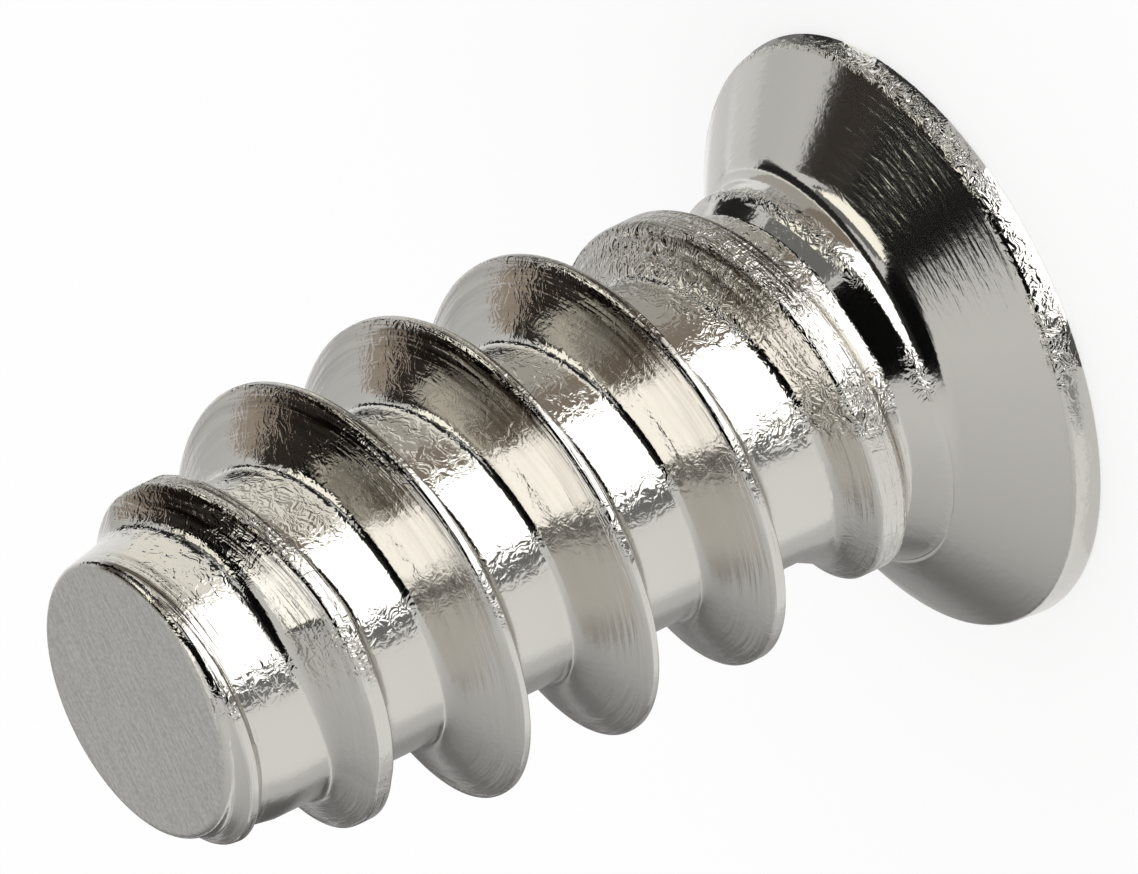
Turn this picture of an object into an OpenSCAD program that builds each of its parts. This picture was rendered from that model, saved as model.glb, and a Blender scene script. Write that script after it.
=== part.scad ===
// Case fan screw: a short self-tapping screw with a coarse, sharp thread.
// It stands on its flat head. The head face lies on z = 0 and the blunt tip points up (+Z).
// Heights that end in _from_tip are measured down from the tip, all others up from the head face.

/* [Overall] */
// Length from the head face to the tip
length = 9.95; // [8.5:0.05:16]

/* [Head] */
// Diameter of the head
head_d = 6.54; // [6.5:0.02:8]
// Height of the straight band round the head
rim_h = 0.3; // [0.2:0.05:0.5]
// Radius of the soft edge between the head face and the band
rim_edge_r = 0.06; // [0.04:0.01:0.12]
// Diameter of the head where the band meets the cone
cone_d = 6.46; // [6.1:0.02:6.48]
// Height of the countersunk cone
cone_h = 0.8; // [0.7:0.02:1.4]
// Tilt of the cone against the head face: cold heading leaves the band a little uneven
cone_tilt = 1.2; // [0:0.1:2]

/* [Neck] */
// Diameter of the plain collar between the head and the thread
collar_d = 4.22; // [3.9:0.02:4.4]
// Height of the collar between the cone and its shoulder
collar_h = 0.19; // [0.15:0.01:0.4]
// Height of the bevel from the collar down to the washed-out groove
collar_bevel = 0.28; // [0.2:0.02:0.34]
// Diameter at the bottom of the groove where it has washed out
neck_d = 3.84; // [3.7:0.02:3.9]
// Tilt of the collar's shoulder, where the thread groove washes out
collar_tilt = 5; // [0:0.5:6]
// Radius of the hollow between the collar and the cone
neck_fillet_r = 0.34; // [0.1:0.02:0.4]

/* [Thread] */
// Diameter over the crests
thread_d = 5; // [4.8:0.1:5.4]
// Diameter of the core between the turns
core_d = 3.4; // [3.2:0.02:3.7]
// Rise of the thread in one turn
pitch = 1.64; // [1.4:0.02:2]
// Angle between the two flanks
flank_angle = 52; // [50:1:62]
// Width of the crest
crest_w = 0.1; // [0.04:0.01:0.12]
// Turning of the whole thread about the screw's axis
thread_phase = 0; // [0:5:355]

/* [First turn] */
// Diameter of the end face
tip_d = 3.22; // [3.1:0.02:3.3]
// Height of the bevel round the end face
tip_bevel = 0.04; // [0.03:0.01:0.1]
// Distance from the tip to the middle of the ridge where the thread starts
start_from_tip = 0.13; // [0.05:0.01:0.3]
// Rise of the thread in one turn while it is a low ridge
start_pitch = 0.98; // [0.8:0.02:1.2]
// Length of the low ridge, in turns
start_turns = 0.75; // [0.5:0.05:1]
// Diameter over the low ridge
ridge_d = 3.54; // [3.4:0.02:3.7]
// Width of the low ridge's crest
ridge_w = 0.12; // [0.08:0.01:0.2]
// Crest diameter where the ridge ends and the blunt turn starts
entry_d = 3.9; // [3.8:0.02:4.1]
// Width of the crest there
entry_w = 0.5; // [0.3:0.05:0.6]
// Crest diameter at the highest point of the blunt turn, a quarter turn on
blunt_d = 4.66; // [4.4:0.02:4.8]
// Width of the blunt turn's crest
blunt_w = 0.2; // [0.12:0.01:0.25]
// Crest diameter half a turn on, where it is lowest
saddle_d = 4.26; // [4.2:0.02:4.6]
// Distance from the tip at which the thread is full
full_from_tip = 2.6; // [2.4:0.05:3.2]

/* [Run-out] */
// Crest diameter where the thread meets the collar
runout_d = 4.12; // [4:0.02:4.2]
// Height at which the crest has come down to that diameter
runout_low = 1.3; // [1.2:0.05:1.6]
// Crest diameter at the start of the wide, flat last turn
washout_d = 4.5; // [4.4:0.02:4.7]
// Width of the crest there
washout_w = 0.32; // [0.2:0.01:0.4]
// Height of that point
washout_low = 2.55; // [2.3:0.05:2.9]
// Height at which the crest starts to come down
runout_high = 3.8; // [3.2:0.05:4]

/* [Drive recess] */
// Diameter over the four wings of the cross recess at the head face
recess_d = 4; // [3.6:0.1:4.3]
// Width of a wing
wing_w = 1; // [0.8:0.05:1.1]
// Depth at which the wings have run in to the round middle
wing_depth = 1.7; // [1.4:0.1:1.8]
// Diameter of the round middle at the head face
middle_d = 2.2; // [2:0.1:2.4]
// Diameter of the round middle where its pointed bottom begins
floor_d = 1.8; // [1.6:0.1:1.9]
// Depth at which the pointed bottom begins
floor_depth = 1.9; // [1.9:0.1:2.1]
// Angle of the pointed bottom
point_angle = 120; // [110:5:140]

/* [Hidden] */

$fn = 96;                                  // sides of the round parts in a preview
steps = 60;                                // stations along one turn of the thread
nickel = [0.80, 0.78, 0.75];

flank_tan = tan(flank_angle / 2);          // sideways run of a flank for each mm of depth
cone_top = rim_h + cone_h;                 // height at which the cone meets the collar
shoulder = cone_top + collar_h;            // height of the collar's shoulder
shank_low = rim_h;                         // height inside the head at which the shank ends

// The thread is followed in turns from its start at the tip. It runs on past the tip and
// into the head, and a turned outline then cuts both ends clean.
spare_turns = 1.5;                         // turns past the tip
spare_h = 0.3;                             // length of the core's end below the cut in the head
front = -90;                               // direction in which the thread starts, -Y
ridge_up = 0.35;                           // share of the low ridge at which it is full
ridge_end = 0.9;                           // share of it at which it turns into thread
narrow_turn = start_turns + 0.1;           // turn at which the blunt turn's crest is narrow
blunt_turn = start_turns + 0.25;           // turn of its highest point
saddle_turn = start_turns + 0.5;           // turn of its lowest point
groove_high = 1;                           // distance over the shoulder at which the groove rises
groove_low = 0.56;                         // distance at which it has washed out
end_turn = start_turns
    + (length - shank_low + spare_h - start_from_tip - start_pitch * start_turns) / pitch;
first_station = -ceil(spare_turns * steps);
last_station = ceil((end_turn + 0.5) * steps);

// Distance of the crest's middle from the tip, at a point t turns along the thread
function crest_from_tip(t) =
    start_from_tip + (t < 0 ? pitch * t
        : start_pitch * min(t, start_turns) + pitch * max(t - start_turns, 0));
entry_from_tip = crest_from_tip(start_turns);

// Radius of the core, at a distance from the tip. The groove washes out before the collar.
function core_r(from_tip) = lookup(from_tip,
    [[0, tip_d / 2], [entry_from_tip, core_d / 2], [length - shoulder - groove_high, core_d / 2],
     [length - shoulder - groove_low, neck_d / 2]]);

// Radius of the crest: a low ridge, a blunt turn, the full thread, and the run-out
function ridge_r(t) = lookup(t / start_turns,
    [[0, tip_d / 2], [ridge_up, ridge_d / 2], [ridge_end, ridge_d / 2], [1, entry_d / 2]]);
function rising_r(from_tip) = lookup(from_tip,
    [[entry_from_tip, entry_d / 2], [crest_from_tip(blunt_turn), blunt_d / 2],
     [crest_from_tip(saddle_turn), saddle_d / 2], [full_from_tip, thread_d / 2]]);
function falling_r(height) = lookup(height,
    [[runout_low, runout_d / 2], [washout_low, washout_d / 2], [runout_high, thread_d / 2]]);
function crest_r(t) = t < start_turns ? ridge_r(t)
    : min(rising_r(crest_from_tip(t)), falling_r(length - crest_from_tip(t)));

// Width of the crest
function land_w(from_tip) = lookup(from_tip,
    [[crest_from_tip(ridge_end * start_turns), ridge_w], [entry_from_tip, entry_w],
     [crest_from_tip(narrow_turn), blunt_w], [crest_from_tip(saddle_turn), blunt_w],
     [full_from_tip, crest_w],
     [length - runout_high, crest_w], [length - washout_low, washout_w]]);

// Corners of the thread's section over one pitch, as [distance from the tip, radius]
function section(t) =
    let (
        middle = crest_from_tip(t),
        half_top = land_w(middle) / 2,
        half_foot = half_top + max(crest_r(t) - core_d / 2, 0) * flank_tan,
        tip_side = middle - half_top,
        head_side = middle + half_top
    )
    [[middle - half_foot, core_r(middle - half_foot)], [tip_side, max(crest_r(t), core_r(tip_side))],
     [head_side, max(crest_r(t), core_r(head_side))],
     [middle + half_foot, core_r(middle + half_foot)]];

// The same corners in space, at a station along the thread
function station(i) =
    let (turn = i / steps, angle = thread_phase + front - 360 * turn)
    [for (corner = section(turn))
        [corner[1] * cos(angle), corner[1] * sin(angle), length - corner[0]]];

// Core and thread as one solid: a band of the section wound along the helix, whose first edge
// meets the last edge of the turn before. A fan to a point on the axis closes each end.
module winding() {
    corners = len(section(0));
    last = corners - 1;
    count = last_station - first_station;
    points = [for (i = [first_station : last_station]) each station(i)];
    half_turn = 1 / 2;
    high = length - crest_from_tip(first_station / steps + half_turn);
    low = length - crest_from_tip(last_station / steps - half_turn);
    function at(i, k) = k > last ? (i + steps) * corners : i * corners + k;
    axis_high = len(points);
    axis_low = axis_high + 1;
    band = [for (i = [0 : count - 1], k = [0 : last])
        if (k < last || i + steps < count)
            each [[at(i, k), at(i + 1, k + 1), at(i + 1, k)],
                  [at(i, k), at(i, k + 1), at(i + 1, k + 1)]]];
    high_fan = concat(
        [for (i = [0 : steps - 1]) [axis_high, at(i, 0), at(i + 1, 0)]],
        [for (k = [0 : last]) [axis_high, at(0, k + 1), at(0, k)]]);
    low_fan = concat(
        [for (i = [count - steps : count - 1]) [axis_low, at(i + 1, last), at(i, last)]],
        [for (k = [0 : last - 1]) [axis_low, at(count, k), at(count, k + 1)]],
        [[axis_low, at(count - steps, last), at(count, 0)]]);
    polyhedron(
        points = concat(points, [[0, 0, high], [0, 0, low]]),
        faces = concat(band, high_fan, low_fan));
}

// Shank with its thread, cut off inside the head and bevelled at the tip
module shank() {
    outer_r = thread_d;                    // well outside the crests
    face_r = tip_d / 2 - tip_bevel;        // a bevel of 45 degrees goes out from the end face
    intersection() {
        winding();
        rotate_extrude()
            polygon([[0, shank_low], [outer_r, shank_low], [outer_r, length - (outer_r - face_r)],
                     [face_r, length], [0, length]]);
    }
}

// Outline of the flat disc of the head, with its soft edge. Its band goes on up past the cone.
module disc_outline(top) {
    slope = (head_d - cone_d) / 2 / (rim_h - rim_edge_r);
    polygon(concat(
        [[0, 0]],
        [for (a = [-90 : 15 : 0])
            [head_d / 2 + rim_edge_r * (cos(a) - 1), rim_edge_r * (1 + sin(a))]],
        [[cone_d / 2 - slope * (top - rim_h), top], [0, top]]));
}

// Outline of the cone with the hollow and the plain collar on it
module cone_outline(top) {
    cone_angle = atan2(cone_d / 2 - collar_d / 2, cone_h);    // between the cone and the axis
    hollow = neck_fillet_r * tan(cone_angle / 2);             // length of the hollow on each side
    below = 1;                                                // how far the cone goes on below
    polygon(concat(
        [[0, rim_h - below], [cone_d / 2 + below * tan(cone_angle), rim_h - below]],
        [for (i = [5 : -1 : 0]) let (a = cone_angle * i / 5)
            [collar_d / 2 + neck_fillet_r * (1 - cos(a)),
             cone_top + hollow - neck_fillet_r * sin(a)]],
        [[collar_d / 2, top], [0, top]]));
}

// Countersunk head with its collar. The cone sits a little askew on the disc. The collar's
// shoulder is tilted and bevelled, because the thread groove washes out there.
module head() {
    slope = (collar_d - neck_d) / 2 / collar_bevel;
    past = 0.1;                            // how far the bevel's cone goes on at both ends
    bevel_h = collar_bevel + 2 * past;
    top = shoulder + bevel_h;
    difference() {
        intersection() {
            rotate_extrude() disc_outline(top);
            translate([0, 0, rim_h]) rotate([0, cone_tilt, 0]) translate([0, 0, -rim_h])
                rotate_extrude() cone_outline(top);
        }
        translate([0, 0, shoulder]) rotate([0, -collar_tilt, 0]) translate([0, 0, -past])
            difference() {
                cylinder(d = 2 * collar_d, h = 2 * bevel_h);
                cylinder(r1 = collar_d / 2 + slope * past, r2 = neck_d / 2 - slope * past,
                         h = bevel_h);
            }
    }
}

// Cross recess: four wings that run in to a round middle with a pointed bottom
module recess() {
    outside = 0.5;                         // how far the cutting shapes reach out of the head
    wing_slope = (recess_d - floor_d) / 2 / wing_depth;
    middle_slope = (middle_d - floor_d) / 2 / floor_depth;
    wing_h = wing_depth + outside;
    intersection() {
        translate([0, 0, -outside])
            cylinder(r1 = recess_d / 2 + wing_slope * outside, r2 = floor_d / 2, h = wing_h);
        for (a = [45, 135]) rotate(a)
            translate([-recess_d, -wing_w / 2, -outside]) cube([2 * recess_d, wing_w, wing_h]);
    }
    rotate_extrude()
        polygon([[0, -outside], [middle_d / 2 + middle_slope * outside, -outside],
                 [floor_d / 2, floor_depth],
                 [0, floor_depth + floor_d / 2 / tan(point_angle / 2)]]);
}

// The whole screw is one piece of metal
module screw() {
    color(nickel) difference() {
        union() {
            head();
            shank();
        }
        recess();
    }
}

screw();
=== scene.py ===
# %% [markdown]
# # A case fan screw in nickel plate
#
# A short self-tapping screw with a countersunk head, a plain collar and a coarse, sharp thread.
# It is one piece of steel: the head was struck cold, the thread was rolled, and the whole thing
# was plated with nickel. The frame below is the exact solid, in metres, standing on its head
# with the blunt tip up. This script makes a finer skin for it, with rounded crests and soft
# edges, and gives that skin its plating.

# %% The exact part as the frame
import math

import bmesh
import bpy
from mathutils import Matrix, Vector


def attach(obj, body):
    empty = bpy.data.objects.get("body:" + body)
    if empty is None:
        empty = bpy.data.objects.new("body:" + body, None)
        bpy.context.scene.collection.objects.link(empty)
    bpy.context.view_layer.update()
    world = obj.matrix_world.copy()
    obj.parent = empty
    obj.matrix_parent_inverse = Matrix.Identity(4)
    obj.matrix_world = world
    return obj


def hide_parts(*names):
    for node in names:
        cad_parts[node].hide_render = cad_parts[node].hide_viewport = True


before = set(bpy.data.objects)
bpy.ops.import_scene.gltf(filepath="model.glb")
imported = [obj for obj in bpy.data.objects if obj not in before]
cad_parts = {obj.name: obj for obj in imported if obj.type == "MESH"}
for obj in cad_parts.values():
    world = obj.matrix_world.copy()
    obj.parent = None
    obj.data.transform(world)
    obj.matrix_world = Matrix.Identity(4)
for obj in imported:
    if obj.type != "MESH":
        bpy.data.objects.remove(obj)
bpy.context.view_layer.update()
print("nodes:", sorted(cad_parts))

# %% [markdown]
# ## Sizes
#
# All sizes are in millimetres, as on a drawing, and the finished mesh is scaled to metres in
# one step. They are the sizes of the solid part: the skin has to lie on it. Distances that are
# measured down from the tip have "depth" in their name, and heights go up from the head face.

# %% Sizes of the screw
per_metre = 1000                                # millimetres in a metre
one_mm = 1 / per_metre
length, pitch = 9.95, 1.64
head_r, rim_h, rim_edge = 3.27, 0.3, 0.06
cone_r, cone_h, cone_tilt = 3.23, 0.8, math.radians(-1.2)
collar_r, collar_h, collar_bevel, collar_tilt = 2.11, 0.19, 0.28, math.radians(5)
hollow_r, neck_r = 0.34, 1.92
thread_r, core_r, crest_w, flank_tan = 2.5, 1.70, 0.1, math.tan(math.radians(26))
tip_r, tip_round = 1.61, 0.09
cone_top = rim_h + cone_h
shoulder = cone_top + collar_h
print("shoulder of the collar at", round(shoulder, 3), "mm")

# %% [markdown]
# ## How the thread is described
#
# A thread is one section that travels along a helix, so every point of it has two numbers: the
# turn it is on, counted from the tip, and its place across the section. On this screw the
# section changes on the way. It starts as a low ridge round the end face, becomes a blunt
# turn, then the sharp full thread, and at the collar it gets wide and low again. Each change is
# a small table of (where, how much), read with straight lines in between.

# %% Tables along the thread
def read_table(x, table):
    """The value at x of a table of (x, value) pairs."""
    if x <= table[0][0]:
        return table[0][1]
    for (x0, y0), (x1, y1) in zip(table, table[1:]):
        if x <= x1:
            return y0 + (y1 - y0) * (x - x0) / (x1 - x0)
    return table[-1][1]


ridge_start, ridge_turns, ridge_depth, ridge_pitch = -0.13, 0.75, 0.13, 0.98
full_depth = 2.9                                # the thread is full from here on
runout_high, washout_low, land_low = 3.8, 2.525, 2.0
groove_high, groove_low = 2.3, 1.85             # heights where the groove rises and has washed out

ridge_radius = [(ridge_start, 1.60), (0.0, 1.685), (0.25, 1.79), (0.68, 1.76), (0.75, 1.94)]
rising_radius = [(0.865, 1.94), (0.95, 2.06), (1.14, 2.2), (1.28, 2.35), (1.41, 2.28), (1.55, 2.15),
                 (1.69, 2.13), (2.2, 2.29), (2.5, 2.45), (full_depth, thread_r)]
falling_radius = [(1.3, 2.06), (1.7, 2.12), (2.115, 2.19), (washout_low, 2.25),
                  (runout_high, thread_r)]
land_width = [(0.8, 0.13), (0.865, 0.51), (0.95, 0.25), (1.05, 0.2), (1.9, 0.2), (2.6, crest_w),
              (length - runout_high, crest_w), (length - washout_low, 0.33),
              (length - land_low, 0.34)]
land_shift = [(0.8, 0.0), (0.865, 0.13), (0.95, 0.07), (1.7, 0.08), (2.4, 0.0),
              (length - 2.8, 0.0), (length - 2.1, 0.04)]


def crest_depth(turn):
    """How far the middle of the crest lies below the tip."""
    return ridge_depth + ridge_pitch * min(turn, ridge_turns) + pitch * max(turn - ridge_turns, 0)


def core_at(depth):
    """Radius of the core. It widens at the collar, where the groove washes out."""
    return read_table(depth, [(0, tip_r), (crest_depth(ridge_turns), core_r),
                              (length - groove_high, core_r), (length - groove_low, neck_r)])


def crest_at(turn):
    """Radius of the crest: the ridge first, then the lower of the rise and the run-out."""
    depth = crest_depth(turn)
    if turn < ridge_turns:
        return read_table(turn, ridge_radius)
    return min(read_table(depth, rising_radius), read_table(length - depth, falling_radius))


def crest_line(turn):
    """Depth of the middle of the crest, and half the width of its land."""
    depth = crest_depth(turn)
    return depth + read_table(depth, land_shift), read_table(depth, land_width) / 2


print("crest of the third turn:", round(crest_depth(3), 2), "mm below the tip")

# %% [markdown]
# ## The section with its rounded corners
#
# A rolled thread has no sharp corner: the crest is a little round and the foot runs into the
# core with a small hollow. Instead of bevelling thousands of edges afterwards, the section is
# written as three lines (core, flank, crest), and where two of them meet they are blended over
# a small distance. The same blend works for every turn, whatever its width.

# %% Blended section
crest_round, foot_round = 0.06, 0.14
least_rise, no_rise = 0.05, 1e-4                # rises that a turn never goes below
foot_limit = 0.95                               # a foot ends this near the middle of the groove
CREST, FOOT, VALLEY = 0.12, 0.30, 0.5           # marks across the section, as shares of a pitch


def blend_low(a, b, width):
    """The lower of a and b, with a round corner where they meet."""
    near = max(width - abs(a - b), 0) / width
    return min(a, b) - near * near * width / 4


def blend_high(a, b, width):
    return -blend_low(-a, -b, width)


def section(turn, across):
    """Depth and radius of a point. across runs from -0.5 to 0.5 with the crest at 0."""
    middle, top = crest_line(turn)
    valley = abs(crest_line(turn + math.copysign(1, across))[0] - middle) / 2
    foot = min(top + max(crest_at(turn) - core_r, least_rise) * flank_tan, foot_limit * valley)
    aside = read_table(abs(across), [(0, 0), (CREST, top), (FOOT, foot), (VALLEY, valley)])
    depth = middle + math.copysign(aside, across)
    core = core_at(depth)
    crest = max(crest_at(turn), core)
    rise = max(crest - core, no_rise)
    radius = blend_low(crest, crest + (top - aside) / flank_tan, min(crest_round, rise))
    return depth, blend_high(core, radius, min(foot_round, rise))


print("full crest at radius", round(section(3.0, 0.0)[1], 3), "mm")

# %% [markdown]
# ## Winding the thread
#
# The Screw modifier would wind one section, but it can't close core and thread into a single
# tube. So one straight side line is spun once round the axis while it climbs by one pitch. Every
# row of points then runs along the helix, and the last column lands on the first one, one pitch
# further on, where the two are merged. The marks on the line lie closest at the crest and the
# foot, where the section bends most.

# %% Spin the side line
steps = 180
first_turn, last_turn = -2, 6                   # a little more than the screw is long
seam_weld, fine_weld = 1e-4, 1e-5
half_marks = [0.0, 0.04, 0.08, 0.105, 0.12, 0.135, 0.155, 0.185, 0.22, 0.255,
              0.28, 0.3, 0.32, 0.36, 0.43]
marks = [-0.5] + [-m for m in reversed(half_marks[1:])] + half_marks
line_marks = [turn + m for turn in range(first_turn, last_turn + 1) for m in marks]
line_marks.append(last_turn + 0.5)

bm = bmesh.new()
ends = [bm.verts.new((0, -1, -pitch * line_marks[i])) for i in (0, -1)]
bmesh.ops.subdivide_edges(bm, edges=[bm.edges.new(ends)], cuts=len(line_marks) - 2)
for vert, mark in zip(sorted(bm.verts, key=lambda v: -v.co.z), line_marks):
    vert.co.z = -pitch * mark
bmesh.ops.spin(bm, geom=bm.verts[:] + bm.edges[:], cent=(0, 0, 0), axis=(0, 0, -1),
               dvec=(0, 0, -pitch / steps), angle=math.tau, steps=steps, use_merge=False)
bmesh.ops.remove_doubles(bm, verts=bm.verts[:], dist=seam_weld)
print("tube:", len(bm.verts), "points,", sum(e.is_boundary for e in bm.edges), "open edges")

# %% [markdown]
# ## What the plating needs to know
#
# The plating isn't the same all over. One side is rough, one side is satin, and the lines of the
# rolled metal lie only beside the crests. A material could find these areas from coordinates,
# but the turns of a thread are hard to tell apart in that way. The mesh knows them already. So
# each point stores a few amounts, as attributes that interpolate over the faces, and the
# material only reads them. The first helpers say how much there is on each side of the screw.

# %% Amounts round the axis
# The last amount says where a dark reflection is painted into the colour of the flow lines.
across_mm, flow, crackle, satin, painted_reflection = [
    bm.verts.layers.float.new(name) for name in ("across_mm", "flow", "crackle", "satin", "painted_reflection")]


def side_angle(co):
    """Degrees round the axis: 0 at the front, negative to the right, positive to the left."""
    return math.degrees((-math.pi / 2 - math.atan2(co.y, co.x) + math.pi) % math.tau - math.pi)


def rough_side(co):
    """The right half of the screw took the rougher plating."""
    return read_table(side_angle(co), [
        (-150, 0.3), (-100, 0.6), (-65, 1.0), (-24, 1.0), (-14, 0.25), (3, 0.25),
        (8, 1.0), (18, 1.0), (24, 0.12), (150, 0.12), (180, 0.3)])


def satin_side(co):
    """1 where the plating is a little duller: from the front round to the left."""
    return read_table(side_angle(co), [(10, 0.0), (28, 1.0), (150, 1.0), (180, 0.0)])


def painted_reflection_side(co):
    """1 where a dark reflection is painted beside the crest: at the right of the front."""
    return read_table(side_angle(co), [
        (-80, 0.2), (-62, 0.6), (-46, 1.0), (-24, 0.9), (-14, 0.2),
        (16, 0.2), (24, 0.0), (150, 0.0), (180, 0.2)])


print("sides:", {angle: round(rough_side(Vector((math.sin(-math.radians(angle)),
                                                 -math.cos(math.radians(angle)), 0))), 2)
                 for angle in (-90, -45, 0, 45, 90)})

# %% [markdown]
# ## Each point moves to its place
#
# The spun tube is still a plain cylinder. The height and the angle of a point say which turn it
# is on and how far across the section it lies, and the section says where it belongs. A Displace
# modifier pushes points in one direction, but here they go outwards and along the axis at once.

# %% Move each point to its place
snap, tie = 1e-5, 1e-6                          # shares of a turn that count as none
wide_land, rough_turn = 0.08, 4.3
# How much crackle there is on the land, the flank and the core
BLUNT, SHARP, LAST = (0.9, 0.15, 0.22), (0.4, 0.1, 0.22), (1.5, 0.8, 0.5)


def thread_place(co):
    """Angle round the axis, the turn a point is on, and its place across the section."""
    angle = math.atan2(co.y, co.x)
    part_turn = ((-math.pi / 2 - angle) / math.tau) % 1
    if part_turn > 1 - snap:
        part_turn = 0.0
    place = -co.z / pitch - part_turn
    whole = math.floor(place + 0.5 + tie)
    return angle, whole + part_turn, place - whole


def flow_beside(past_land):
    """Flow lines are strongest at the land's edge and fade out down the flank."""
    return read_table(past_land, [(-0.04, 1.0), (0.0, 1.2), (0.1, 0.9), (0.2, 0.35), (0.32, 0.0)])


def crackle_across(turn, across, half_land):
    """Most of the crackle is on the last turn and on the blunt first one."""
    land, flank, core = BLUNT if half_land > wide_land else SHARP
    if turn > rough_turn:
        land, flank, core = LAST
    return read_table(abs(across), [(0.11, land), (0.14, flank), (0.28, flank), (0.33, core)])


for vert in bm.verts:
    angle, turn, across = thread_place(vert.co)
    depth, radius = section(turn, across)
    vert.co = (radius * math.cos(angle), radius * math.sin(angle), length - depth)
    middle, half_land = crest_line(turn)
    vert[across_mm] = depth - middle
    vert[flow] = flow_beside(abs(depth - middle) - half_land)
    # Painted dark reflection: the flow lines on the right of the front get it.
    vert[painted_reflection] = vert[flow] * painted_reflection_side(vert.co)
    vert[crackle] = rough_side(vert.co) * crackle_across(turn, across, half_land)
print("highest crest:", round(max(v.co.xy.length for v in bm.verts), 3), "mm")

# %% [markdown]
# ## Cutting the tube and closing the tip
#
# The wound tube is too long at both ends. A bisect cuts it level just under the tip. At the
# collar the cut is tilted, because the groove washes out there on a slant. The open loop at the
# tip is then extruded in small steps round a quarter circle, which gives the rounded edge of
# the end face, and the face is closed with one flat polygon. The blank was sheared, which left
# the end a little oval, so the last stretch is squeezed one way.

# %% Cut both ends
tilt_normal = Vector((-math.sin(collar_tilt), 0, math.cos(collar_tilt)))


def tilted_height(height, co):
    """Height of the tilted collar plane under or over a point."""
    return height + co.x * math.tan(collar_tilt)


bmesh.ops.bisect_plane(bm, geom=bm.verts[:] + bm.edges[:] + bm.faces[:], dist=fine_weld,
                       plane_co=(0, 0, length - tip_round), plane_no=(0, 0, 1), clear_outer=True)
bmesh.ops.bisect_plane(bm, geom=bm.verts[:] + bm.edges[:] + bm.faces[:], dist=fine_weld,
                       plane_co=(0, 0, shoulder + collar_bevel), plane_no=tilt_normal,
                       clear_inner=True)


def open_loop(above):
    return [e for e in bm.edges if e.is_boundary and (e.verts[0].co.z > length / 2) == above]


def grow(loop, move):
    """Extrude an open loop once and put each new point where move(old point) says."""
    grown = bmesh.ops.extrude_edge_only(bm, edges=loop)["geom"]
    for vert in [g for g in grown if isinstance(g, bmesh.types.BMVert)]:
        vert.co = move(vert.co.copy())
    return [g for g in grown if isinstance(g, bmesh.types.BMEdge)]


def at_radius(co, radius, height):
    """The point in the same direction from the axis, at another radius and height."""
    flat = co.xy.normalized() * radius
    return Vector((flat.x, flat.y, height))


print("open edges at the tip and the neck:", len(open_loop(True)), len(open_loop(False)))

# %% Round the tip's edge and close it
face_inset, tip_loops, face_rings = 0.075, 6, (0.985, 0.95)
squeeze, squeeze_depth = 0.05, 0.8
face_r = tip_r - face_inset
loop = open_loop(True)
for i in range(1, tip_loops + 1):
    before, now = (math.pi / 2 * j / tip_loops for j in (i - 1, i))
    left = math.cos(now) / math.cos(before) if i < tip_loops else 0.0
    loop = grow(loop, lambda co: at_radius(
        co, face_r + (co.xy.length - face_r) * left, length - tip_round * (1 - math.sin(now))))
for share in face_rings:
    loop = grow(loop, lambda co: at_radius(co, face_r * share, length))
bmesh.ops.contextual_create(bm, geom=loop)
for vert in bm.verts:
    vert.co.x *= 1 - squeeze * max(1 - (length - vert.co.z) / squeeze_depth, 0)
print("end face radius:", round(face_r, 3), "mm")

# %% [markdown]
# ## Collar, cone and head
#
# From the tilted cut the loop goes on down: out along the bevel, over the soft edge of the
# collar, into the hollow, down the cone, round the rim and onto the flat head face. Extruding
# loop after loop keeps one clean strip of faces for each step, and each step is only a radius
# and a height. The cone was struck a little off square, so its heights are tilted.

# %% Outline under the collar
cone_angle = math.atan2(cone_r - collar_r, cone_h)
hollow_top = cone_top + hollow_r * math.tan(cone_angle / 2)
hollow_low = hollow_top - hollow_r * math.sin(cone_angle)
edge_soft, hollow_loops = 0.05, 10


def outline_r(height):
    """Radius of collar, hollow and cone at a height."""
    if height >= hollow_top:
        return collar_r
    if height > hollow_low:
        return collar_r + hollow_r * (1 - math.sqrt(1 - ((hollow_top - height) / hollow_r) ** 2))
    return cone_r + (rim_h - height) * math.tan(cone_angle)


def level(co):
    """Height on the drawing of a point whose cone is struck a little off square."""
    return co.z - co.x * math.tan(cone_tilt)


def collar_edge(co):
    """The point of the collar's sharp edge that lies under or over a point."""
    height = tilted_height(shoulder, co)
    return at_radius(co, outline_r(level(Vector((co.x, co.y, height)))), height)


def over_edge(co, share):
    """A share of the way over the collar's edge, on a curve that softens it."""
    edge = collar_edge(co)
    low = at_radius(co, 1, tilted_height(shoulder - edge_soft, co))
    low = at_radius(co, outline_r(level(low)), low.z)
    return co.lerp(edge, share).lerp(edge.lerp(low, share), share)


def down_the_hollow(co, steps_left):
    """One even step down towards the foot of the hollow."""
    height = level(co) + (hollow_low - level(co)) / steps_left
    low = at_radius(co, outline_r(height), height)
    return low + Vector((0, 0, low.x * math.tan(cone_tilt)))


loop = open_loop(False)
for share in (0.1, 0.5, 0.8):
    loop = grow(loop, lambda co: co.lerp(collar_edge(co), share))
for share in (0.35, 0.8, 1.0):
    loop = grow(loop, lambda co: over_edge(co, share))
for i in range(hollow_loops):
    loop = grow(loop, lambda co: down_the_hollow(co, hollow_loops - i))
print("hollow from", round(hollow_top, 2), "to", round(hollow_low, 2), "mm")

# %% Cone, rim and head face
cone_rings, face_ring, edge_steps = [0.04, 0.2, 0.5, 0.8, 0.94, 0.985], 0.98, 6
band_low, band_high = rim_edge + 0.04, rim_h - 0.03
rows = [(outline_r(h), h) for h in (hollow_low + (rim_h - hollow_low) * s for s in cone_rings)]
rows += [(cone_r - 0.02, rim_h + 0.012), (cone_r, rim_h - 0.004), (cone_r + 0.012, band_high)]
rows += [(head_r - 0.004, band_low)]
rows += [(head_r - rim_edge * (1 - math.cos(a)), rim_edge * (1 - math.sin(a)))
         for a in (math.pi / 2 * i / edge_steps for i in range(edge_steps + 1))]
rows += [((head_r - rim_edge) * face_ring, 0.0)]


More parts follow.
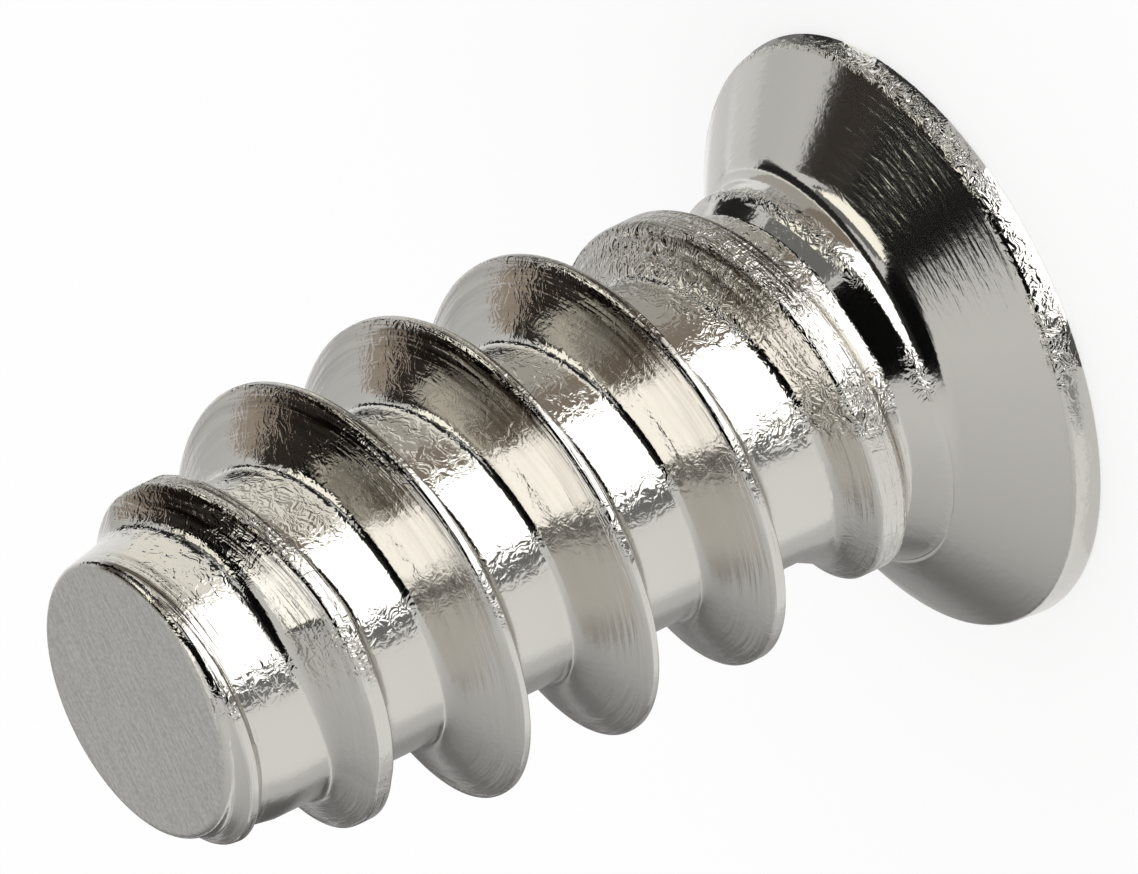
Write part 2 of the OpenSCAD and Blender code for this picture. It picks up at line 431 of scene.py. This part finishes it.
def next_row(co, radius, height):
    """A row at this radius and height. The tilt of the cone fades out down the band."""
    new = at_radius(co, radius, height)
    tilted = read_table(height, [(band_low, 0), (band_high, 1)])
    return new + Vector((0, 0, new.x * math.tan(cone_tilt) * tilted))


for radius, height in rows:
    loop = grow(loop, lambda co: next_row(co, radius, height))
bmesh.ops.contextual_create(bm, geom=loop)
bmesh.ops.remove_doubles(bm, verts=bm.verts[:], dist=fine_weld)
bmesh.ops.recalc_face_normals(bm, faces=bm.faces[:])
print("skin:", len(bm.faces), "faces, volume", round(bm.calc_volume(), 1), "mm3,",
      sum(not e.is_manifold for e in bm.edges), "open edges")

# %% [markdown]
# ## Amounts on the head
#
# The head has no flow lines, and its cone is almost smooth. It is rough in two places: along the
# edge of the collar and on the rim. The points there get their crackle now, because they didn't
# exist when the thread was wound.

# %% Finish areas of the head
edge_band, rim_margin, rim_full, cut_gap = 0.12, 0.03, 0.005, 0.001
cone_crackle, edge_crackle, rim_crackle = 0.02, 0.7, 1.1


def new_part(name, bm):
    """A mesh drawn in millimetres becomes an object in metres."""
    bmesh.ops.scale(bm, vec=(one_mm,) * 3, verts=bm.verts[:])
    mesh = bpy.data.meshes.new(name)
    bm.to_mesh(mesh)
    bm.free()
    made = bpy.data.objects.new(name, mesh)
    bpy.context.scene.collection.objects.link(made)
    return made


for vert in bm.verts:
    vert[satin] = satin_side(vert.co)
    if vert.co.z < tilted_height(shoulder + collar_bevel, vert.co) - cut_gap:
        vert[flow] = vert[painted_reflection] = 0.0
        near_edge = max(0, 1 - abs(vert.co.z - tilted_height(shoulder, vert.co)) / edge_band)
        on_rim = read_table(vert.co.xy.length,
                            [(cone_r - rim_margin, 0.0), (cone_r - rim_full, 1.0)])
        vert[crackle] = rough_side(vert.co) * (
            cone_crackle + edge_crackle * near_edge + rim_crackle * on_rim)
skin = new_part("screw_skin", bm)
print("attributes:", [a.name for a in skin.data.attributes if a.data_type == "FLOAT"])

# %% [markdown]
# ## The cross recess
#
# A punch strikes the recess into the head: four wings that lean inwards and a round middle with
# a pointed bottom. It is easiest to model the punch and subtract it. Each pair of wings is a
# long box whose lower end is narrower, and a cone with a pointed end makes the middle. The exact
# solver is the slower one, but it copes with shapes that touch or overlap, as the wings do.

# %% The punch
recess_r, wing_w, wing_depth = 2.0, 1.0, 1.7
middle_r, floor_r, floor_depth, point_angle = 1.1, 0.9, 1.9, math.radians(120)
outside = 0.5                                   # how far the punch reaches out of the head
round_steps, lathe_weld = 64, 1e-6


def wing_pair(turned):
    """Two opposite wings: a box, its far end pulled in towards the axis."""
    box = bmesh.new()
    bmesh.ops.create_cube(box, size=1)
    slope = (recess_r - floor_r) / wing_depth
    for vert in box.verts:
        high = vert.co.z > 0
        reach = floor_r if high else recess_r + slope * outside
        vert.co = (math.copysign(reach, vert.co.x), math.copysign(wing_w / 2, vert.co.y),
                   wing_depth if high else -outside)
    bmesh.ops.rotate(box, verts=box.verts[:],
                     matrix=Matrix.Rotation(math.radians(turned), 3, "Z"))
    return new_part("punch_wings", box)


def middle_punch():
    """A slim cone with a pointed end, spun from its outline."""
    lathe = bmesh.new()
    slope = (middle_r - floor_r) / floor_depth
    rows = [(0, -outside), (middle_r + slope * outside, -outside), (floor_r, floor_depth),
            (0, floor_depth + floor_r / math.tan(point_angle / 2))]
    points = [lathe.verts.new((r, 0, z)) for r, z in rows]
    edges = [lathe.edges.new(pair) for pair in zip(points, points[1:])]
    bmesh.ops.spin(lathe, geom=points + edges, cent=(0, 0, 0), axis=(0, 0, 1), dvec=(0, 0, 0),
                   angle=math.tau, steps=round_steps, use_merge=True)
    bmesh.ops.remove_doubles(lathe, verts=lathe.verts[:], dist=lathe_weld)
    bmesh.ops.recalc_face_normals(lathe, faces=lathe.faces[:])
    return new_part("punch_middle", lathe)


punches = [wing_pair(45), wing_pair(135), middle_punch()]
print("punch:", [punch.name for punch in punches])

# %% Strike the recess
sharp_angle = math.radians(38)
for punch in punches:
    cut = skin.modifiers.new(punch.name, "BOOLEAN")
    cut.operation, cut.solver, cut.object = "DIFFERENCE", "EXACT", punch
cut_mesh = bpy.data.meshes.new_from_object(
    skin.evaluated_get(bpy.context.evaluated_depsgraph_get()))
skin.modifiers.clear()
skin.data = cut_mesh
for punch in punches:
    bpy.data.objects.remove(punch)
cut_mesh.shade_smooth()
cut_mesh.set_sharp_from_angle(angle=sharp_angle)
cut_mesh.update()
tris = sum(len(p.vertices) - 2 for p in cut_mesh.polygons)
highest = max(v.co.z for v in cut_mesh.vertices) * per_metre
print("with the recess:", tris, "triangles, highest point", round(highest, 3), "mm")

# %% [markdown]
# ## One skin in place of the solid
#
# The screw has one body and one node, so its skin rides on the root and stands in for the whole
# solid.

# %% Ride on the frame
skin.name = "nickel_plated_screw"
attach(skin, "root")
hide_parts("screw")
print(skin.name, "replaces the node screw")

# %% [markdown]
# ## Nickel plate
#
# The plate is bright metal, so most of its look is what it mirrors. The materials say how
# smooth it is and how it is marked: a fine ripple all over, crackle where the plating is rough,
# and the lines that rolling and heading left. On the thread they also paint a dark reflection
# into the colour of the flow lines, at the right of the front. None of these marks is higher than
# a few hundredths of a millimetre. They could be displaced in the mesh, but that would take
# millions of faces, so they are bump. They are read in millimetres from the piece's own
# coordinates, and from the amounts that were stored on its points above. The helpers here keep
# the node trees short to write.

# %% Node helpers
def node(tree, kind, place, **sockets):
    """A node with its place on the sheet and its input values."""
    made = tree.nodes.new(kind)
    made.location = place
    for name, value in sockets.items():
        made.inputs[name.replace("_", " ")].default_value = value
    return made


def link(tree, output, socket):
    tree.links.new(output, socket)


def maths(tree, place, operation, first, second):
    """A Math node; each of its two values is a number or an output."""
    made = node(tree, "ShaderNodeMath", place)
    made.operation = operation
    for socket, value in zip(made.inputs, (first, second)):
        if isinstance(value, (int, float)):
            socket.default_value = value
        else:
            link(tree, value, socket)
    return made.outputs["Value"]


def noise(tree, place, vector, scale, detail, roughness=0.5, distortion=0.0):
    made = node(tree, "ShaderNodeTexNoise", place, Scale=scale, Detail=detail,
                Roughness=roughness, Distortion=distortion)
    link(tree, vector, made.inputs["Vector"])
    return made.outputs["Fac"]


def in_mm(tree, place):
    """Object coordinates in millimetres."""
    where = node(tree, "ShaderNodeTexCoord", (place[0] - 200, place[1]))
    made = node(tree, "ShaderNodeMapping", place, Scale=(per_metre,) * 3)
    link(tree, where.outputs["Object"], made.inputs["Vector"])
    return made.outputs["Vector"]


def stored(tree, place, name):
    """An amount that was stored on the points."""
    made = node(tree, "ShaderNodeAttribute", place)
    made.attribute_name = name
    return made.outputs["Fac"]


# %% Metal helpers
def new_metal(name, colour, rough):
    material = bpy.data.materials.new(name)
    material.use_nodes = True
    tree = material.node_tree
    shader = tree.nodes["Principled BSDF"]
    shader.inputs["Base Color"].default_value = (*colour, 1)
    shader.inputs["Metallic"].default_value = 1.0
    shader.inputs["Roughness"].default_value = rough
    return material, tree, shader


def raise_surface(tree, shader, height):
    """Bump from a height in millimetres."""
    bump = node(tree, "ShaderNodeBump", (-200, -300), Strength=1.0, Distance=one_mm)
    link(tree, height, bump.inputs["Height"])
    link(tree, bump.outputs["Normal"], shader.inputs["Normal"])


def mix_colours(tree, share, first, second, shader):
    """Base colour between two colours. The Mix node's colours are its inputs 6 and 7."""
    mix = node(tree, "ShaderNodeMix", (-200, 500))
    mix.data_type = "RGBA"
    mix.inputs[6].default_value, mix.inputs[7].default_value = (*first, 1), (*second, 1)
    link(tree, share, mix.inputs[0])
    link(tree, mix.outputs[2], shader.inputs["Base Color"])


# %% [markdown]
# ## Bright nickel
#
# The ripple is plain noise. The crackle is noise too, but folded at its middle value, which turns
# soft hills into the thin, sharp creases of a rough plate. The stored amounts switch the crackle,
# the satin and a painted dark reflection on where they belong.

# %% Plated metal
NICKEL = (0.62, 0.60, 0.56)
# Colour of the dark reflection that is painted into the flow lines
PAINTED_REFLECTION_COLOUR = (0.10, 0.085, 0.07)
ripple_scale, crackle_scale = 14, 6             # waves in a millimetre, about
crackle_height, satin_rough = 0.1, 0.13


def plated(name, rough, ripple_height, strokes):
    """Bright nickel: a fine ripple all over, crackle where stored, strokes and any painted dark
    reflection they bring.
    """
    material, tree, shader = new_metal(name, NICKEL, rough)
    mm = in_mm(tree, (-1600, 0))
    waves = noise(tree, (-1200, 200), mm, ripple_scale, 2)
    ripple = maths(tree, (-1000, 200), "MULTIPLY", waves, ripple_height)
    coarse = noise(tree, (-1200, 0), mm, crackle_scale, 2.5, 0.6, 0.7)
    centred = maths(tree, (-1100, 0), "SUBTRACT", coarse, 0.5)
    ridges = maths(tree, (-1000, 0), "ABSOLUTE", centred, 0)
    amount = maths(tree, (-1000, -150), "MULTIPLY",
                   stored(tree, (-1200, -150), "crackle"), crackle_height)
    broken = maths(tree, (-800, 0), "MULTIPLY", ridges, amount)
    lines, painted_dark = strokes(tree, mm)
    height = maths(tree, (-600, 0), "ADD", maths(tree, (-700, 0), "ADD", ripple, broken), lines)
    duller = maths(tree, (-400, 300), "MULTIPLY", stored(tree, (-600, 300), "satin"), satin_rough)
    link(tree, maths(tree, (-200, 300), "ADD", duller, rough), shader.inputs["Roughness"])
    # The base colour darkens where the dark reflection is painted
    if painted_dark is not None:
        mix_colours(tree, painted_dark, NICKEL, PAINTED_REFLECTION_COLOUR, shader)
    raise_surface(tree, shader, height)
    return material


# %% [markdown]
# ## Lines left by rolling and by heading
#
# Both kinds of line are noise that is squeezed hard in one direction, so its spots become
# strokes. The flow lines follow the thread: they change fast with the distance from the crest
# and slowly along it. At the right of the front a dark reflection is painted into their colour
# where the line noise is high. The strokes on the head run round the axis, so there the noise
# changes fast with the radius and slowly with the direction.

# %% Flow lines and strokes
flow_x, flow_y, flow_z, flow_across = 0.6, 0.6, 1.1, 26
# Above this level of the line noise, the dark reflection is painted into the colour
flow_height, painted_reflection_from, painted_reflection_gain = 0.014, 0.4, 5.0
strokes_out, strokes_round, stroke_height = 22, 7, 0.0025


def flow_lines(tree, mm):
    """Lines that the rolled metal left beside the crest, along the thread, and a painted dark
    reflection in them.
    """
    parts = node(tree, "ShaderNodeSeparateXYZ", (-1400, -500))
    link(tree, mm, parts.inputs["Vector"])
    along = maths(tree, (-1200, -450), "ADD",
                  maths(tree, (-1300, -450), "MULTIPLY", parts.outputs["X"], flow_x),
                  maths(tree, (-1300, -550), "MULTIPLY", parts.outputs["Z"], flow_z))
    other = maths(tree, (-1200, -600), "MULTIPLY", parts.outputs["Y"], flow_y)
    aside = maths(tree, (-1200, -700), "MULTIPLY",
                  stored(tree, (-1400, -700), "across_mm"), flow_across)
    place = node(tree, "ShaderNodeCombineXYZ", (-1000, -550))
    for value, socket in zip((along, other, aside), place.inputs):
        link(tree, value, socket)
    lines = noise(tree, (-900, -550), place.outputs["Vector"], 1, 2, 0.6)
    amount = maths(tree, (-900, -700), "MULTIPLY",
                   stored(tree, (-1100, -750), "flow"), flow_height)
    # Painted dark reflection: strongest where the line noise is high
    past = maths(tree, (-750, -700), "SUBTRACT", lines, painted_reflection_from)
    painted_share = maths(tree, (-600, -700), "MULTIPLY", past, painted_reflection_gain)
    painted_dark = maths(tree, (-450, -700), "MULTIPLY", painted_share, stored(tree, (-600, -850), "painted_reflection"))
    return maths(tree, (-750, -550), "MULTIPLY", lines, amount), painted_dark


def vector_maths(tree, place, operation, vector):
    made = node(tree, "ShaderNodeVectorMath", place)
    made.operation = operation
    link(tree, vector, made.inputs[0])
    return made


def round_strokes(tree, mm):
    """Fine strokes round the axis, from the heading die."""
    flat = vector_maths(tree, (-1300, -500), "MULTIPLY", mm)
    flat.inputs[1].default_value = (1, 1, 0)
    ray = vector_maths(tree, (-1150, -450), "NORMALIZE", flat.outputs["Vector"])
    size = vector_maths(tree, (-1150, -600), "LENGTH", flat.outputs["Vector"])
    place = node(tree, "ShaderNodeCombineXYZ", (-1000, -600))
    out = maths(tree, (-1080, -650), "MULTIPLY", size.outputs["Value"], strokes_out)
    link(tree, out, place.inputs["Z"])
    wide = vector_maths(tree, (-1000, -450), "MULTIPLY_ADD", ray.outputs["Vector"])
    wide.inputs[1].default_value = (strokes_round, strokes_round, 0)
    link(tree, place.outputs["Vector"], wide.inputs[2])
    strokes = noise(tree, (-880, -500), wide.outputs["Vector"], 1, 2)
    return maths(tree, (-750, -500), "MULTIPLY", strokes, stroke_height), None


# %% [markdown]
# ## The sheared end face
#
# The end of the wire was sheared, not rolled, so it is satin and scatters the light evenly. Its
# hairlines are stretched noise, and the small pits between them are fine noise. Bump alone would
# hardly show on a surface this dull, so the same noise also tints the metal a little.

# %% Satin end face
hair_turn, hair_scale, pit_scale = 0.9, (2.5, 30, 1), 22
end_rough, hair_height, pit_height = 0.3, 0.004, 0.004
dark_end, light_end = (0.50, 0.48, 0.45), (0.66, 0.645, 0.615)


def satin_face(name):
    """The sheared end of the blank: satin, with hairlines that fan out a little."""
    material, tree, shader = new_metal(name, NICKEL, end_rough)
    mm = in_mm(tree, (-1600, 0))
    turned = node(tree, "ShaderNodeMapping", (-1300, 0), Rotation=(0, 0, hair_turn),
                  Scale=hair_scale)
    link(tree, mm, turned.inputs["Vector"])
    hairs = noise(tree, (-1100, 0), turned.outputs["Vector"], 1, 3, 0.6, 0.8)
    pits = noise(tree, (-1100, -200), mm, pit_scale, 3)
    raise_surface(tree, shader, maths(
        tree, (-600, 0), "ADD", maths(tree, (-900, 0), "MULTIPLY", hairs, hair_height),
        maths(tree, (-900, -200), "MULTIPLY", pits, pit_height)))
    both = maths(tree, (-900, 300), "ADD", hairs, pits)
    shade = maths(tree, (-750, 300), "MULTIPLY", both, 0.5)
    tint = node(tree, "ShaderNodeMapRange", (-600, 300), From_Min=0.4, From_Max=0.6)
    link(tree, shade, tint.inputs["Value"])
    mix_colours(tree, tint.outputs["Result"], dark_end, light_end, shader)
    return material


# %% [markdown]
# ## Four finishes on one piece
#
# The same plate looks different on each area, because the metal under it does. The rolled thread
# has flow lines beside its crests. The cone and the rim were pressed in a die, which left fine
# strokes round the axis, and the cone is the duller of the two. The end of the wire is satin.
# Each area has its own material, and every face takes the one of the area that its middle lies
# in. The boolean above resets the indices of the faces, so they are set here, after it.

# %% Finishes by area
finishes = [plated("nickel_thread", 0.09, 0.0016, flow_lines), satin_face("nickel_end_face"),
            plated("nickel_cone", 0.12, 0.0009, round_strokes),
            plated("nickel_rim", 0.09, 0.0016, round_strokes)]
THREAD, END, CONE, RIM = range(len(finishes))
end_band, facing, rim_band, cone_band, recess_reach = 0.02, 0.9, 0.015, 0.02, 1.5


def finish_area(middle, normal):
    """Which finish a face has, from its middle in millimetres and the way it faces."""
    if middle.z > length - end_band and normal.z > facing:
        return END
    if middle.xy.length > cone_r - rim_band or normal.z < -facing:
        return RIM
    if middle.z < hollow_low + cone_band or middle.xy.length < recess_reach:
        return CONE
    return THREAD


for material in finishes:
    skin.data.materials.append(material)
for face in skin.data.polygons:
    face.material_index = finish_area(face.center * per_metre, face.normal)
counts = [sum(face.material_index == i for face in skin.data.polygons)
          for i in range(len(finishes))]
print("finishes:", dict(zip((m.name for m in skin.data.materials), counts)))

# %% [markdown]
# ## The white floor
#
# The screw stands on a wide white sheet. A plain white paint would come out grey here and there,
# and a pure glow would lose the shadow. So the sheet is a mix of the two: mostly glow, which
# keeps it white, and enough paint to show the soft shadow under the head. The metal sees only
# the glow, so that its reflections stay even.

# %% Floor
floor_half, glow_share = 2000, 0.7


def white_sheet():
    """Mostly glow with some paint; a reflection sees only the glow."""
    material = bpy.data.materials.new("white_floor")
    material.use_nodes = True
    tree = material.node_tree
    tree.nodes.clear()
    path = node(tree, "ShaderNodeLightPath", (-600, 200))
    share = maths(tree, (-400, 200), "MAXIMUM", path.outputs["Is Glossy Ray"], glow_share)
    paint = node(tree, "ShaderNodeBsdfDiffuse", (-400, 0), Color=(0.98, 0.98, 0.98, 1))
    glow = node(tree, "ShaderNodeEmission", (-400, -150), Color=(1, 1, 1, 1), Strength=1.0)
    mix = node(tree, "ShaderNodeMixShader", (-200, 0))
    output = node(tree, "ShaderNodeOutputMaterial", (0, 0))
    for source, socket in zip((share, paint.outputs[0], glow.outputs[0]), mix.inputs):
        link(tree, source, socket)
    link(tree, mix.outputs[0], output.inputs[0])
    return material


floor_mesh = bmesh.new()
bmesh.ops.create_grid(floor_mesh, x_segments=1, y_segments=1, size=floor_half)
floor = new_part("floor", floor_mesh)
floor.data.materials.append(white_sheet())
print("floor:", [round(size, 2) for size in floor.dimensions], "m")

# %% [markdown]
# ## The light tent
#
# Bright metal needs something to mirror. Here that is a white tent which gets darker towards the
# back: a colour ramp along one direction, read from where the reflection points. One ramp is
# enough for the broad, soft tones, and the sharp bands are left to the cards. The camera and the
# diffuse light see plain white.

# %% World
tent_direction, tent_span = (-0.5, 1.0, 0.0), 1.2
tent_levels = [(0.0, 0.80), (0.4, 0.70), (0.6, 0.66), (0.8, 0.62), (0.97, 0.54), (1.1, 0.27)]


def stop_place(at):
    return (at + tent_span) / (2 * tent_span)


world = bpy.data.worlds.new("light_tent")
bpy.context.scene.world = world
world.use_nodes = True
tree = world.node_tree
tree.nodes.clear()
direction = node(tree, "ShaderNodeTexCoord", (-1000, 0))
slope = vector_maths(tree, (-800, 0), "DOT_PRODUCT", direction.outputs["Generated"])
slope.inputs[1].default_value = tent_direction
spread = node(tree, "ShaderNodeMapRange", (-600, 0), From_Min=-tent_span, From_Max=tent_span)
tent = node(tree, "ShaderNodeValToRGB", (-400, 0))
stops = tent.color_ramp.elements
for stop, (at, grey) in zip(stops, (tent_levels[0], tent_levels[-1])):
    stop.position, stop.color = stop_place(at), (grey, grey, grey, 1)
for at, grey in tent_levels[1:-1]:
    stops.new(stop_place(at)).color = (grey, grey, grey, 1)
path = node(tree, "ShaderNodeLightPath", (-400, 300))
choice = node(tree, "ShaderNodeMix", (-200, 0))
choice.data_type = "RGBA"
choice.inputs[6].default_value = (1, 1, 1, 1)
background = node(tree, "ShaderNodeBackground", (0, 0), Strength=1.0)
output = node(tree, "ShaderNodeOutputWorld", (200, 0))
link(tree, slope.outputs["Value"], spread.inputs["Value"])
link(tree, spread.outputs["Result"], tent.inputs["Fac"])
link(tree, path.outputs["Is Glossy Ray"], choice.inputs[0])
link(tree, tent.outputs["Color"], choice.inputs[7])
link(tree, choice.outputs[2], background.inputs["Color"])
link(tree, background.outputs[0], output.inputs[0])
print("tent:", [(round(stop.position, 2), round(stop.color[0], 2)) for stop in stops])

# %% [markdown]
# ## Cards and flags
#
# In a studio, the light and dark bands on a shiny screw come from white cards and black flags
# round it. These are the same: flat glowing sheets that only the metal sees. Lamps would give
# round highlights, and only a card has a straight edge to mirror. There are three kinds, by
# where they stand: overhead, on the floor, and upright.

# %% One card
white, warm = (1, 1, 1), (1, 0.84, 0.70)


def card(name, corners, strength, tint=white):
    """A flat card that only shows in the metal."""
    sheet = bmesh.new()
    sheet.faces.new([sheet.verts.new(corner) for corner in corners])
    made = new_part(name, sheet)
    made.visible_camera = made.visible_diffuse = False
    made.visible_shadow = made.visible_transmission = False
    material = bpy.data.materials.new(name)
    material.use_nodes = True
    tree = material.node_tree
    tree.nodes.clear()
    glow = node(tree, "ShaderNodeEmission", (-200, 0), Color=(*tint, 1), Strength=strength)
    output = node(tree, "ShaderNodeOutputMaterial", (0, 0))
    link(tree, glow.outputs[0], output.inputs[0])
    made.data.materials.append(material)


# %% [markdown]
# ## Cards overhead
#
# These lie on a wide dome and make the bands on the flanks and the cone. A place on the dome is
# given as it is seen from straight below, with the dome's radius as 1: right is +x and back is
# +y. Most neighbours share their corners, so that no light falls between them.

# %% Cards overhead
dome = 150
overhead_cards = [
    ("dark_flag_back", 0.035, warm,
     [(.20, .26), (.13, .50), (.40, .54), (.63, .52), (.80, .42), (.67, .20)]),
    ("brown_flag_back", 0.42, warm,
     [(.13, .50), (.30, .70), (.46, .69), (.60, .55), (.40, .53)]),
    ("black_flag_right", 0.0, white,
     [(.20, .26), (.67, .20), (.90, .20), (.885, .14), (.66, .15), (.63, .10), (.545, .0),
      (.44, -.13), (.215, -.125)]),
    ("black_flag_front", 0.0, white,
     [(.215, -.125), (.44, -.13), (.44, -.32), (.46, -.48), (.40, -.9), (-.42, -.9),
      (-.38, -.38), (.0, -.25)]),
    ("cream_card", 1.5, (1, .98, .88),
     [(.66, .15), (.885, .14), (.90, .02), (.84, -.16), (.74, -.32), (.60, -.45), (.46, -.48),
      (.44, -.32), (.44, -.13), (.545, .0), (.63, .10)]),
    ("grey_flag_low", 0.2, white,
     [(.885, .14), (.97, .14), (.99, .0), (.95, -.25), (.80, -.45), (.60, -.64), (.46, -.48),
      (.60, -.45), (.74, -.32), (.84, -.16), (.90, .02)]),
    ("bright_strip", 1.7, (1, .99, .94),
     [(-.15, .08), (.15, .08), (.19, .22), (.13, .45), (-.15, .45)]),
    ("thin_black_strip", 0.05, white,
     [(-.215, .08), (-.15, .08), (-.15, .45), (-.215, .45)])]


def overhead(places):
    """Corners on the dome, each straight above its place."""
    return [Vector((x, y, math.sqrt(1 - x * x - y * y))) * dome for x, y in places]


for name, strength, tint, places in overhead_cards:
    card(name, overhead(places), strength, tint)
print("overhead:", len(overhead_cards), "cards")

# %% [markdown]
# ## Cards on the floor
#
# The core and the crests mirror the floor, which is white all over. Wedges on it give them their
# bands. Each wedge lies between two bearings, in degrees from the front and to the left if
# positive, and between two distances from the axis.

# %% Wedges on the floor
floor_near, floor_far, floor_gap, wedge_steps = 4.0, 60.0, 0.03, 8
floor_cards = [                                 # name, two bearings, near, far, strength, tint
    ("bright_floor", -44, 20, floor_near, floor_far, 2.5, white),
    ("floor_tape", 20, 39, floor_near, floor_far, 0.2, white),
    ("grey_floor_right", -72, -44, floor_near, 17, 0.3, warm),
    ("cream_floor", -120, -72, floor_near, 17, 0.5, (1, .97, .90)),
    ("light_floor_far", -120, -44, 17, floor_far, 1.1, (1, .98, .90)),
    ("light_floor_behind", -156, -120, floor_near, 19, 0.75, white),
    ("black_floor", -185, -156, floor_near, 19, 0.05, warm),
    ("grey_floor_left", 104, 124, floor_near, floor_far, 0.65, white),
    ("dark_floor_left", 124, 175, floor_near, 20, 0.36, white),
    ("dark_floor_far", 124, 175, 20, floor_far, 0.1, white)]


def on_floor(start, stop, near, far, height=floor_gap):
    """Corners of a wedge just above the floor."""
    edge = [math.radians(start + (stop - start) * i / wedge_steps)
            for i in range(wedge_steps + 1)]
    outer = [Vector((-math.sin(a) * far, -math.cos(a) * far, height)) for a in edge]
    inner = [Vector((-math.sin(a) * near, -math.cos(a) * near, height)) for a in reversed(edge)]
    return outer + inner


for name, start, stop, near, far, strength, tint in floor_cards:
    card(name, on_floor(start, stop, near, far), strength, tint)
print("on the floor:", len(floor_cards), "cards")

# %% [markdown]
# ## Two rings of cards at the rim
#
# The band round the head stands upright and close to the floor, so it mirrors only the few
# tenths of a millimetre in front of it. Two narrow rings of cards lie there. The lower part of
# the band sees the inner ring, the upper part sees the outer one, and the crackle mixes them.

# %% Rings at the rim
rim_inner, rim_middle, rim_gap = 3.25, 3.52, 0.004
rim_levels = [                                  # two bearings, inner strength, outer strength
    (-100, -88, 0.4, 0.4), (-88, -78, 0.2, 0.2), (-78, -68, 0.04, 0.04), (-68, -64, 0.1, 0.3),
    (-64, -54, 1.3, 0.7), (-54, -32, 0.05, 0.6), (-32, -20, 0.7, 0.03), (-20, -14, 2.2, 0.4),
    (-14, 12, 2.2, 2.2), (12, 21, 0.12, 0.12), (21, 66, 0.8, 0.8), (66, 110, 0.92, 0.92)]
for i, (start, stop, inner, outer) in enumerate(rim_levels):
    card(f"rim_card_inner_{i}", on_floor(start, stop, rim_inner, rim_middle, rim_gap), inner)
    card(f"rim_card_outer_{i}", on_floor(start, stop, rim_middle, floor_near, rim_gap), outer)
print("at the rim:", 2 * len(rim_levels), "cards")

# %% [markdown]
# ## Upright cards
#
# Parts that face the horizon mirror what stands behind the screw and beside it. Three walls
# stand behind it, given by their slopes as seen from the screw. A low dark ring of flat panels
# stands at the right and the front, which gives the hollow and the crests their dark edges.

# %% Walls and dark ring
wall_distance = 100
walls = [                                       # name, left, right, low, high, strength
    ("dark_wall_left", -0.9, 0.1, -0.2, 0.22, 0.14),
    ("grey_wall_left", -0.9, -0.46, 0.22, 0.42, 0.26),
    ("light_wall_right", 0.1, 0.84, -0.2, 0.24, 0.8)]
for name, left, right, low, high, strength in walls:
    places = [(left, low), (right, low), (right, high), (left, high)]
    card(name, [Vector((x * wall_distance, wall_distance, z * wall_distance)) for x, z in places],
         strength)

ring_r, ring_low, ring_high, ring_strength = 120, -30, 36, 0.02
ring_start, ring_stop, ring_step = -140, 20, 20
ring = [math.radians(a) for a in range(ring_start, ring_stop + 1, ring_step)]
for i, (a, b) in enumerate(zip(ring, ring[1:])):
    places = [(a, ring_low), (b, ring_low), (b, ring_high), (a, ring_high)]
    card(f"dark_ring_{i}", [Vector((-math.sin(t) * ring_r, -math.cos(t) * ring_r, z))
                            for t, z in places], ring_strength)
print("upright:", len(walls) + len(ring) - 1, "cards")

# %% [markdown]
# ## Camera
#
# The screw is looked at from 37 cm away through a long lens, 27 degrees above the plane across
# its axis and towards its tip. The camera is rolled, so that the screw lies across the view with
# its head at the upper right. Its place is worked out from the tip: how many pixels a millimetre
# takes up there gives the lens, and two distances say how far beside the tip it points.

# %% Camera
picture_width, scale_at_tip = 1138, 97.931      # pixels, and pixels to a millimetre
elevation, roll = math.radians(27.019), math.radians(-115.936)
distance = 0.374                                # metres from the lens to the tip
aim_across, aim_up = 4.4381, 2.7083             # millimetres beside and above the tip
scene = bpy.context.scene
scene.view_settings.view_transform = "Standard"
camera_data = bpy.data.cameras.new("camera")
camera = bpy.data.objects.new("camera", camera_data)
scene.collection.objects.link(camera)
scene.camera = camera
camera_data.sensor_width = 36
camera_data.lens = scale_at_tip * distance * per_metre * camera_data.sensor_width / picture_width
camera_data.clip_start, camera_data.clip_end = 0.01, 10
facing_tip = Matrix.Rotation(math.pi / 2 - elevation, 3, "X") @ Matrix.Rotation(roll, 3, "Z")
aim = Vector((aim_across, aim_up, distance * per_metre)) * one_mm
place = Vector((0, 0, length * one_mm)) + facing_tip @ aim
camera.matrix_world = Matrix.Translation(place) @ facing_tip.to_4x4()
print("lens", round(camera_data.lens), "mm, camera at", [round(x, 3) for x in camera.location])
